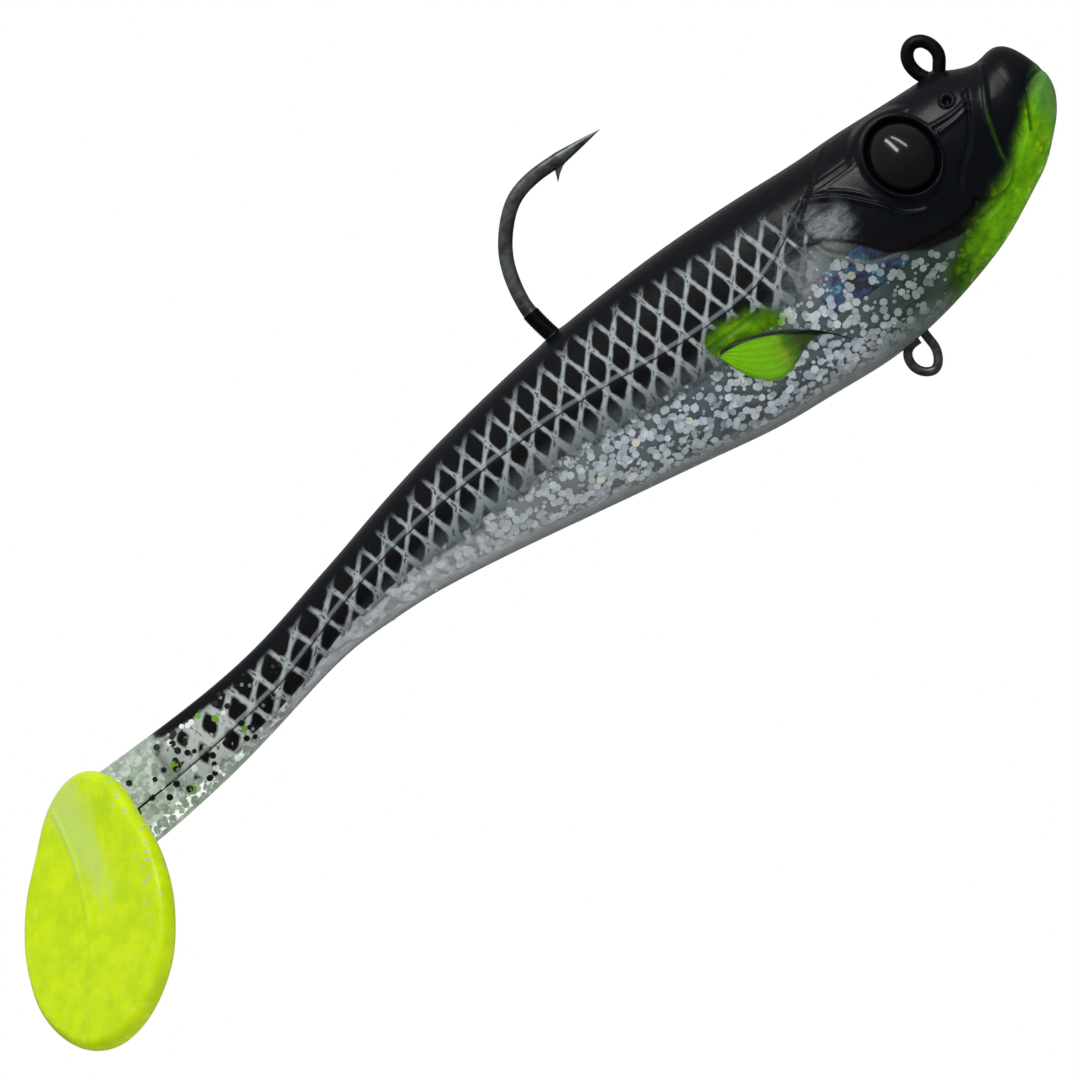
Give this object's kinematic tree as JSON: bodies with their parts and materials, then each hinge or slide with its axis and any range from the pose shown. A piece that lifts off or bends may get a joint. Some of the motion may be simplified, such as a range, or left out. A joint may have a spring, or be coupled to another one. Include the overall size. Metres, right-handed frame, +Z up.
{
  "type": "swimbait",
  "caption": "Soft paddle-tail swimbait with an internal weight, an up-turned hook, a line-tie eye, a belly ring and a flexing tail.",
  "frame": {"origin": "centre of the line-tie eye on top of the head", "axes": "+X towards the nose, +Z up through the back, -Y towards the right flank"},
  "size_m": [0.1524, 0.0299, 0.0522],
  "materials": {
    "back_plastisol": "glossy soft plastic, black back over a clear flaked belly",
    "clear_plastisol": "glossy translucent soft plastic with flakes",
    "chartreuse_plastisol": "satin soft plastic",
    "green_plastisol": "glossy soft plastic",
    "cast_lead": "dull cast lead",
    "black_nickel": "black nickel",
    "eye_gloss": "high gloss",
    "holo_foil": "holographic film"
  },
  "bodies": {
    "trunk": {"trunk_body": "back_plastisol", "lead_weight": "cast_lead", "hook": "black_nickel", "belly_ring": "black_nickel", "eye_right": "eye_gloss", "eye_left": "eye_gloss", "pectoral_fin_right": "green_plastisol", "pectoral_fin_left": "green_plastisol", "foil_right": "holo_foil", "foil_left": "holo_foil"},
    "rear": {"rear_body": "back_plastisol"},
    "stem": {"tail_stem": "clear_plastisol"},
    "paddle": {"tail_paddle": "chartreuse_plastisol"}
  },
  "joints": [
    {"name": "rear_sway", "type": "hinge", "parent": "trunk", "child": "rear", "pos_m": [-0.064, 0, -0.011], "axis": [0, 0, 1], "range_deg": [-16, 16], "stiffness_Nm_per_rad": 0.02},
    {"name": "stem_sway", "type": "hinge", "parent": "rear", "child": "stem", "pos_m": [-0.094, 0, -0.012], "axis": [0, 0, 1], "range_deg": [-26, 26], "stiffness_Nm_per_rad": 0.01},
    {"name": "paddle_kick", "type": "hinge", "parent": "stem", "child": "paddle", "pos_m": [-0.1225, 0, -0.0152], "axis": [0, 0, 1], "range_deg": [-112, 10], "stiffness_Nm_per_rad": 0.004}
  ]
}
